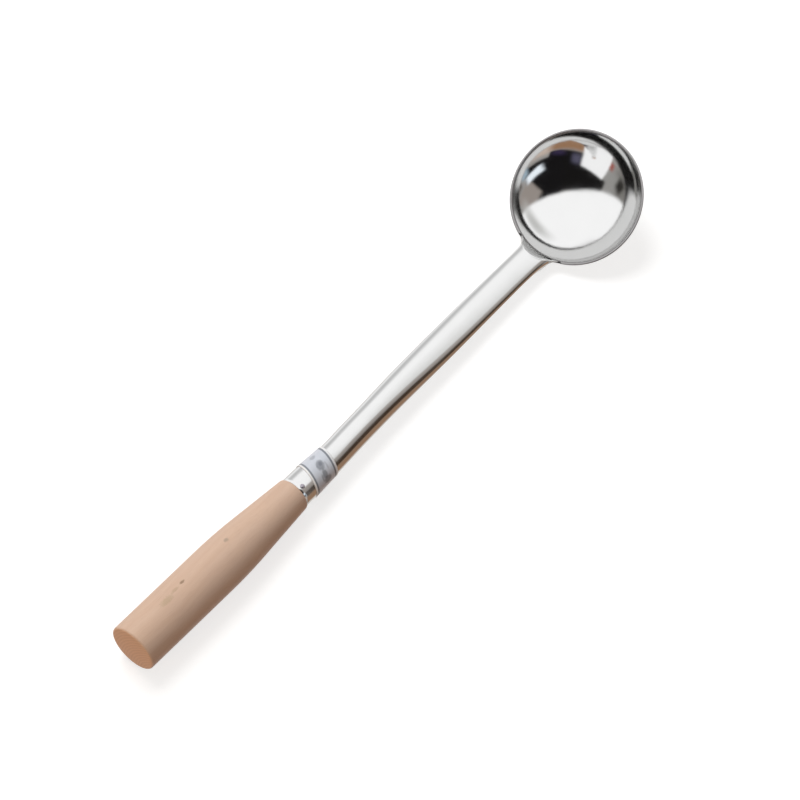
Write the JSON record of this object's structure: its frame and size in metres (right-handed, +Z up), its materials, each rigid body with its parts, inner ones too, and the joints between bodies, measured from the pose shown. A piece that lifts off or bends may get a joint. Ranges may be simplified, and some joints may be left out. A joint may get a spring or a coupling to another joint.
{
  "type": "wok ladle",
  "caption": "Long wok ladle: a deep round mirror-polished steel bowl on a rolled steel shank that ends in a turned wooden grip, with a printed paper band by the grip.",
  "frame": {"origin": "centre of the bounding box at the height of the table the ladle lies on", "axes": "+Y along the ladle from the grip to the bowl, +Z up with the bowl open upwards"},
  "size_m": [0.09, 0.4732, 0.0514],
  "materials": {
    "polished_steel": "mirror-polished stainless steel with fine wipe marks",
    "raw_wood": "bare sanded pale hardwood",
    "pin_steel": "dull steel",
    "band_paper": "pale printed paper band"
  },
  "bodies": {
    "root": {"ladle_body": "polished_steel", "wooden_grip": "raw_wood", "grip_pin": "pin_steel", "printed_band": "band_paper"}
  },
  "joints": []
}
